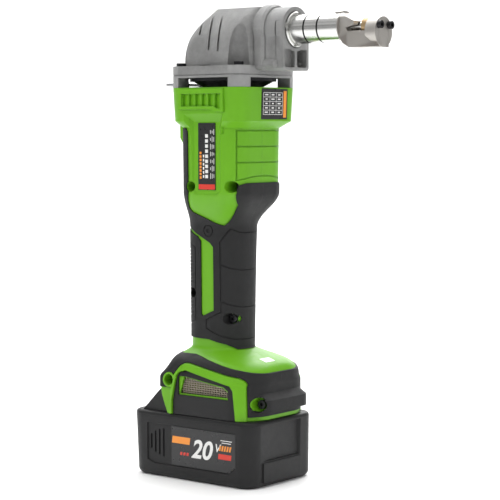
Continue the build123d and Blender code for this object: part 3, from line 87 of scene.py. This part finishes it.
def surface(name, base, rough=0.5, metal=0.0, grain=(900, 0.12), mottle=0.05, rough_var=0.06, edge=0.35,
            brushed=None, spec=0.5, fine=None, wear=None, bands=()):
    """Surface with mottled colour, varied roughness, bump grain and rounded edges.

    grain and fine are (scale, strength); brushed stretches a noise into fine lines;
    wear is (colour, amount) on worn edges; bands are dark (x, half width) stripes along X in mm."""
    m = bpy.data.materials.new(name)
    m.use_nodes = True
    n, l = m.node_tree.nodes, m.node_tree.links
    n.clear()
    out = n.new("ShaderNodeOutputMaterial")
    p = n.new("ShaderNodeBsdfPrincipled")
    l.new(p.outputs["BSDF"], out.inputs["Surface"])
    coord = n.new("ShaderNodeTexCoord").outputs["Object"]
    big = noise(n, l, coord, 38, 5, 0.6)
    mid = noise(n, l, coord, 260, 4, 0.6)
    total = n.new("ShaderNodeMath")
    total.operation = "ADD"
    l.new(remap(n, l, big, 0.3, 0.7, 1 - mottle, 1 + mottle), total.inputs[0])
    l.new(remap(n, l, mid, 0.3, 0.7, -mottle * 0.6, mottle * 0.6), total.inputs[1])
    value = total.outputs[0]
    if bands:
        split = n.new("ShaderNodeSeparateXYZ")
        l.new(coord, split.inputs[0])
        for x, half in bands:
            away = n.new("ShaderNodeMath")
            away.operation = "SUBTRACT"
            away.inputs[1].default_value = x * MM
            l.new(split.outputs["X"], away.inputs[0])
            size = n.new("ShaderNodeMath")
            size.operation = "ABSOLUTE"
            l.new(away.outputs[0], size.inputs[0])
            darker = n.new("ShaderNodeMath")
            darker.operation = "MULTIPLY"
            l.new(value, darker.inputs[0])
            l.new(remap(n, l, size.outputs[0], half * MM * 0.8, half * MM, 0.12, 1.0), darker.inputs[1])
            value = darker.outputs[0]
    hsv = n.new("ShaderNodeHueSaturation")
    hsv.inputs["Color"].default_value = (*base, 1)
    l.new(value, hsv.inputs["Value"])
    colour = hsv.outputs["Color"]
    if wear:
        geometry = n.new("ShaderNodeNewGeometry")
        mix = n.new("ShaderNodeMix")
        mix.data_type = "RGBA"
        l.new(remap(n, l, geometry.outputs["Pointiness"], 0.53, 0.6, 0.0, wear[1]), mix.inputs["Factor"])
        l.new(colour, mix.inputs[6])
        mix.inputs[7].default_value = (*wear[0], 1)
        colour = mix.outputs[2]
    l.new(colour, p.inputs["Base Color"])
    l.new(remap(n, l, mid, 0.25, 0.75, rough - rough_var, rough + rough_var), p.inputs["Roughness"])
    p.inputs["Metallic"].default_value = metal
    p.inputs["Specular IOR Level"].default_value = spec
    bevel = n.new("ShaderNodeBevel")
    bevel.samples = 4
    bevel.inputs["Radius"].default_value = edge * MM
    normal = bevel.outputs["Normal"]
    heights = [(noise(n, l, coord, grain[0], 3, 0.6), grain[1])]
    if fine:
        heights.append((noise(n, l, coord, fine[0], 2, 0.5), fine[1]))
    if brushed:
        heights.append((noise(n, l, coord, 1.0, 3, 0.6, brushed), 0.10))
    for height, strength in heights:
        bump = n.new("ShaderNodeBump")
        bump.inputs["Strength"].default_value = strength
        bump.inputs["Distance"].default_value = 0.0006
        l.new(height, bump.inputs["Height"])
        l.new(normal, bump.inputs["Normal"])
        normal = bump.outputs["Normal"]
    l.new(normal, p.inputs["Normal"])
    return m


MATS = {
    "green_shell": surface("green_shell_mat", (0.128, 0.375, 0.010), 0.42, grain=(1500, 0.06), mottle=0.03,
                           edge=0.7, spec=0.3),
    "black_rubber": surface("black_rubber_mat", (0.016, 0.016, 0.0165), 0.62, grain=(1700, 0.16), edge=0.6,
                            spec=0.28),
    "black_plastic": surface("black_plastic_mat", (0.014, 0.014, 0.0145), 0.48, grain=(1300, 0.12), edge=0.7,
                             spec=0.28),
    "cast_grey": surface("cast_grey_mat", (0.275, 0.275, 0.271), 0.50, 0.45, grain=(1300, 0.80),
                         fine=(2600, 0.5), mottle=0.16, edge=0.9, wear=((0.45, 0.45, 0.45), 0.35)),
    "polished_steel": surface("polished_steel_mat", (0.74, 0.74, 0.72), 0.16, 1.0, grain=(400, 0.01),
                              mottle=0.02, rough_var=0.03, brushed=(9000, 60, 60), edge=0.25,
                              bands=((70.4, 0.75), (81.8, 0.75))),
    "tool_steel": surface("tool_steel_mat", (0.31, 0.285, 0.26), 0.40, 0.85, grain=(1800, 0.12), mottle=0.07,
                          edge=0.35, wear=((0.7, 0.68, 0.64), 0.5)),
    "machined_steel": surface("machined_steel_mat", (0.55, 0.55, 0.56), 0.3, 1.0, grain=(1200, 0.04),
                              edge=0.2),
    "black_screw": surface("black_screw_mat", (0.022, 0.022, 0.024), 0.38, 0.6, grain=(1500, 0.08),
                           edge=0.15),
    "copper": surface("copper_mat", (0.60, 0.24, 0.09), 0.35, 0.9, grain=(900, 0.2), edge=0.15),
    "bronze": surface("bronze_mat", (0.50, 0.36, 0.20), 0.4, 0.9, grain=(900, 0.06), edge=0.15),
    "board_green": surface("board_green_mat", (0.02, 0.12, 0.05), 0.4, grain=(1400, 0.06), edge=0.1),
    "cell_wrap": surface("cell_wrap_mat", (0.04, 0.2, 0.34), 0.3, grain=(700, 0.03), edge=0.2),
    "white_nylon": surface("white_nylon_mat", (0.72, 0.72, 0.69), 0.5, grain=(1400, 0.06), edge=0.3),
    "label_black": surface("label_black_mat", (0.014, 0.014, 0.015), 0.3, grain=(1700, 0.03), mottle=0.02,
                           edge=0.1),
    "label_white": surface("label_white_mat", (0.8, 0.8, 0.8), 0.35, grain=(1700, 0.03), mottle=0.02,
                           edge=0.1),
    "steel_mesh": surface("steel_mesh_mat", (0.46, 0.40, 0.32), 0.38, 0.8, grain=(1400, 0.1), edge=0.05),
}
INKS = {
    "white": surface("ink_white_mat", (0.78, 0.78, 0.76), 0.4, grain=(1700, 0.02), mottle=0.02, edge=0.02),
    "orange": surface("ink_orange_mat", (0.80, 0.27, 0.03), 0.4, grain=(1700, 0.02), mottle=0.03, edge=0.02),
    "red": surface("ink_red_mat", (0.62, 0.035, 0.02), 0.4, grain=(1700, 0.02), mottle=0.03, edge=0.02),
}

# ---------------------------------------------------------------- finish on the CAD pieces
slots = {s["node"]: s["material_slot"] for s in frame["record"]["subparts"]}
for node, piece in frame["nodes"].items():
    piece.data.materials.clear()
    piece.data.materials.append(MATS[slots[node]])
    for poly in piece.data.polygons:
        poly.use_smooth = True
    piece.modifiers.new("weld", "WELD").merge_threshold = 1e-6
    piece.modifiers.new("split", "EDGE_SPLIT").split_angle = SHARP_ANGLE


def new_piece(name, bm, material, body):
    """Finishes a hand-built mesh as a piece that rides a body."""
    mesh = bpy.data.meshes.new(name)
    bm.to_mesh(mesh)
    bm.free()
    mesh.materials.append(material)
    piece = bpy.data.objects.new(name, mesh)
    bpy.context.scene.collection.objects.link(piece)
    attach(piece, body)
    return piece


# ---------------------------------------------------------------- woven filters behind the foot vents
def tube_along(bm, centres, radius, sides=6):
    """Adds a thin wire through the given centres, open at both ends."""
    rings = []
    for i, c in enumerate(centres):
        ahead = centres[min(i + 1, len(centres) - 1)] - centres[max(i - 1, 0)]
        across = ahead.cross(Vector((0, 1, 0))).normalized()
        other = across.cross(ahead).normalized()
        turn = [2 * math.pi * k / sides for k in range(sides)]
        rings.append([bm.verts.new(c + radius * (across * math.cos(t) + other * math.sin(t))) for t in turn])
    for a, b in zip(rings, rings[1:]):
        for k in range(sides):
            bm.faces.new((a[k], a[(k + 1) % sides], b[(k + 1) % sides], b[k]))


def woven_filter(name, side):
    """Woven wire panel, wires crossing over and under each other."""
    x0, x1, z0, z1 = FILTER_BOX
    bm = bmesh.new()
    columns, rows = int((x1 - x0) / WIRE_PITCH), int((z1 - z0) / WIRE_PITCH)
    for a_count, b_count, upright in ((columns, rows, True), (rows, columns, False)):
        for a in range(a_count + 1):
            centres = []
            for step in range(2 * b_count + 1):
                flip = 1 if (a + (0 if upright else 1)) % 2 else -1
                depth = side * (FILTER_DEPTH + WIRE_WAVE * flip * math.cos(math.pi * step / 2))
                along, place = step / 2 * WIRE_PITCH, a * WIRE_PITCH
                x, z = (x0 + place, z0 + along) if upright else (x0 + along, z0 + place)
                centres.append(Vector((x, depth, z)) * MM)
            tube_along(bm, centres, WIRE_RADIUS * MM)
    piece = new_piece(name, bm, MATS["steel_mesh"], "body")
    for poly in piece.data.polygons:
        poly.use_smooth = True
    return piece


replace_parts(woven_filter("woven_filter_right", -1), "foot_filters")
woven_filter("woven_filter_left", 1)


# ---------------------------------------------------------------- printing on the labels
def block(cx, cy, w, h, slant=0.0):
    """Rectangle in label millimetres, leaning right by slant."""
    return [(cx + sx * w / 2 + sy * slant * h / 2, cy + sy * h / 2)
            for sx, sy in ((-1, -1), (1, -1), (1, 1), (-1, 1))]


def figures(text, x, y, size, bold, slant=0.25):
    """Outlines of plain figures as small polygons in label millimetres."""
    curve = bpy.data.curves.new("figures", "FONT")
    curve.body, curve.size, curve.shear, curve.offset = text, size, slant, bold
    letters = bpy.data.objects.new("figures", curve)
    mesh = bpy.data.meshes.new_from_object(letters)
    shapes = [[(x + mesh.vertices[i].co.x, y + mesh.vertices[i].co.y) for i in poly.vertices]
              for poly in mesh.polygons]
    bpy.data.meshes.remove(mesh)
    bpy.data.objects.remove(letters)
    bpy.data.curves.remove(curve)
    return shapes


def print_on(name, origin, across, shapes, ink, body):
    """Raises thin printed shapes off a label; origin in mm, across is the reading direction, +Z is up."""
    u, up = Vector(across).normalized(), Vector((0, 0, 1))
    out = u.cross(up)
    base = Vector(origin)
    bm = bmesh.new()
    for i, shape in enumerate(shapes):
        low, high = INK_LOW * out, (INK_HIGH + 0.004 * (i % 5)) * out
        near = [bm.verts.new((base + u * a + up * b + high) * MM) for a, b in shape]
        far = [bm.verts.new((base + u * a + up * b + low) * MM) for a, b in shape]
        bm.faces.new(near)
        for k in range(len(shape)):
            j = (k + 1) % len(shape)
            bm.faces.new((near[k], far[k], far[j], near[j]))
    bmesh.ops.recalc_face_normals(bm, faces=bm.faces)
    return new_piece(name, bm, INKS[ink], body)


# battery labels, the same print on both sides
for tag, side in (("right", -1), ("left", 1)):
    origin, across = (1.7, side * BATTERY_LABEL_Y, 0), (-side, 0, 0)
    print_on("battery_print_white_" + tag, origin, across,
             figures("20", -10.9, 18.0, 18.5, 0.45) + figures("V", 10.6, 24.4, 8.2, 0.1)
             + [block(21.6, 33.0 - 1.6 * k, 10.4 - 2.0 * (k % 2), 0.5, 0.15) for k in range(2)],
             "white", "battery")
    print_on("battery_print_orange_" + tag, origin, across,
             [block(-20.6, 29.0, 16.8, 5.0, 0.15)]
             + [block(15.9 + 2.3 * k, 27.4, 1.5, 3.8, 0.25) for k in range(5)], "orange", "battery")
    print_on("battery_print_red_" + tag, origin, across,
             [block(20.2, 21.4, 11.8, 3.8, 0.1)]
             + [block(-20.4 + 3.0 * k, 19.4, 2.0, 2.2, 0.15) for k in range(3)], "red", "battery")

# rating label: a red end and rows of generic symbols and lines
rating = [block(-0.6, 219.6 + 3.6 * k, 2.6, 2.4) for k in range(9)]
rating += [block(3.1 + 1.5 * (k % 3), 218.0 + 5.2 * (k // 3) + 2.0, 0.45, 4.0 - 0.7 * ((k * 5) % 4))
           for k in range(21)]
rating += [block(-3.4, 219.6 + 2.9 * k, 1.2, 1.9) for k in range(6)]
print_on("rating_print_white", (0, RATING_LABEL_Y, 0), (1, 0, 0), rating, "white", "body")
print_on("rating_print_orange", (0, RATING_LABEL_Y, 0), (1, 0, 0),
         [block(-6.2, 218.8 + 2.5 * k, 1.8, 1.7) for k in range(8)], "orange", "body")
print_on("rating_print_red", (0, RATING_LABEL_Y, 0), (1, 0, 0),
         [block(-0.5, 212.2, 15.0, 3.6)], "red", "body")

# chart label: a table of lines with short bars in its cells, and an orange strip
chart = [block(3.0, 279.0 - 3.1 * k, 22.0, 0.30) for k in range(6)]
chart += [block(-7.9 + 7.3 * k, 271.2, 0.30, 15.6) for k in range(4)]
chart += [block(-4.4 + 7.3 * (k % 3), 277.5 - 3.1 * (k // 3), 3.6 - (k % 4) * 0.5, 0.9) for k in range(15)]
for ink, shapes in (("white", chart), ("orange", [block(17.0, 270.9, 3.4, 19.0)])):
    sheet = print_on("chart_print_" + ink, (CHART_LABEL_X, 0, 0), (0, 1, 0), shapes, ink, "body")
    for vertex in sheet.data.vertices:
        vertex.co.x += (vertex.co.z - CHART_MIDDLE_Z) * CHART_LEAN


# ---------------------------------------------------------------- floor, light and camera
def backdrop(size):
    """Floor that curves up behind the tool."""
    bm = bmesh.new()
    rows = []
    profile = [(-size, 0), (size * 0.6, 0)]
    profile += [(size * (0.6 + 0.5 * math.sin(a)), size * 0.5 * (1 - math.cos(a)))
                for a in (math.pi / 2 * k / 12 for k in range(1, 13))]
    profile.append((size * 1.1, size * 3))
    for y, z in profile:
        rows.append([bm.verts.new((x, y, z - 0.0002)) for x in (-size * 3, size * 3)])
    for a, b in zip(rows, rows[1:]):
        bm.faces.new((a[0], a[1], b[1], b[0]))
    mesh = bpy.data.meshes.new("floor")
    bm.to_mesh(mesh)
    bm.free()
    for poly in mesh.polygons:
        poly.use_smooth = True
    mesh.materials.append(surface("floor_mat", (0.95, 0.95, 0.95), 0.75, grain=(30, 0.02), mottle=0.004,
                                  edge=0.0))
    floor = bpy.data.objects.new("floor", mesh)
    bpy.context.scene.collection.objects.link(floor)
    floor.rotation_euler = (0, 0, AZIMUTH)


def around(azimuth, elevation, distance, z=0.17):
    """Point at the given bearing and distance from the middle of the tool."""
    a, e = math.radians(azimuth), math.radians(elevation)
    return Vector((distance * math.sin(a) * math.cos(e), -distance * math.cos(a) * math.cos(e),
                   z + distance * math.sin(e)))


def area_light(name, place, size, power, mirrored=True):
    """Rectangular lamp aimed at the tool; mirrored says whether reflections show it."""
    lamp = bpy.data.lights.new(name, "AREA")
    lamp.shape = "RECTANGLE"
    lamp.size, lamp.size_y = size
    lamp.energy = power
    light = bpy.data.objects.new(name, lamp)
    light.location = place
    light.visible_glossy = mirrored
    light.rotation_euler = (LIGHT_AIM - place).to_track_quat("-Z", "Y").to_euler()
    bpy.context.scene.collection.objects.link(light)


backdrop(2.2)
area_light("key", around(-10, 40, 1.6), (1.0, 1.0), 9, False)
area_light("fill", around(95, 25, 1.7), (1.2, 1.4), 7, False)
area_light("top", Vector((0.1, 0, 1.7)), (1.4, 1.4), 9)
area_light("rim", around(200, 30, 1.8), (1.0, 1.4), 12)
for azimuth in (10, 68):
    area_light("sweep_%d" % azimuth, around(azimuth + 180, 50, 2.6), (2.0, 1.0), 26)

# world with darker belts, which give the polished tube its grey streaks; the camera sees plain white
world = bpy.data.worlds.new("world")
bpy.context.scene.world = world
world.use_nodes = True
wn, wl = world.node_tree.nodes, world.node_tree.links
belt = wn.new("ShaderNodeValToRGB")
split = wn.new("ShaderNodeSeparateXYZ")
height = wn.new("ShaderNodeMapRange")
height.inputs["From Min"].default_value = -1.0
wl.new(wn.new("ShaderNodeTexCoord").outputs["Generated"], split.inputs[0])
wl.new(split.outputs["Z"], height.inputs["Value"])
wl.new(height.outputs["Result"], belt.inputs["Fac"])
wl.new(belt.outputs["Color"], wn["Background"].inputs["Color"])
stops = belt.color_ramp.elements
for place, grey in ((0.0, 0.5), (0.46, 0.55), (0.55, 1.1), (0.62, 0.6), (0.7, 1.5), (0.78, 0.9), (0.86, 1.7),
                    (1.0, 2.0)):
    stop = stops.new(place)
    stop.color = (grey, grey, grey, 1)
stops.remove(stops[0])
stops.remove(stops[-1])
wn["Background"].inputs["Strength"].default_value = 0.42
plain = wn.new("ShaderNodeBackground")
choose = wn.new("ShaderNodeMixShader")
wl.new(wn.new("ShaderNodeLightPath").outputs["Is Camera Ray"], choose.inputs[0])
wl.new(wn["Background"].outputs[0], choose.inputs[1])
wl.new(plain.outputs[0], choose.inputs[2])
wl.new(choose.outputs[0], wn["World Output"].inputs["Surface"])

camera_data = bpy.data.cameras.new("camera")
camera_data.lens, camera_data.sensor_width = LENS_MM, SENSOR_MM
camera = bpy.data.objects.new("camera", camera_data)
bpy.context.scene.collection.objects.link(camera)
back = Vector((math.sin(AZIMUTH) * math.cos(ELEVATION), -math.cos(AZIMUTH) * math.cos(ELEVATION),
               math.sin(ELEVATION)))
right = Vector((math.cos(AZIMUTH), math.sin(AZIMUTH), 0))
up = back.cross(right)
pose = Matrix((right * math.cos(ROLL) + up * math.sin(ROLL), up * math.cos(ROLL) - right * math.sin(ROLL),
               back)).transposed().to_4x4()
pose.translation = TARGET + back * CAMERA_DISTANCE
camera.matrix_world = pose
bpy.context.scene.camera = camera
bpy.context.scene.view_settings.view_transform = "Standard"
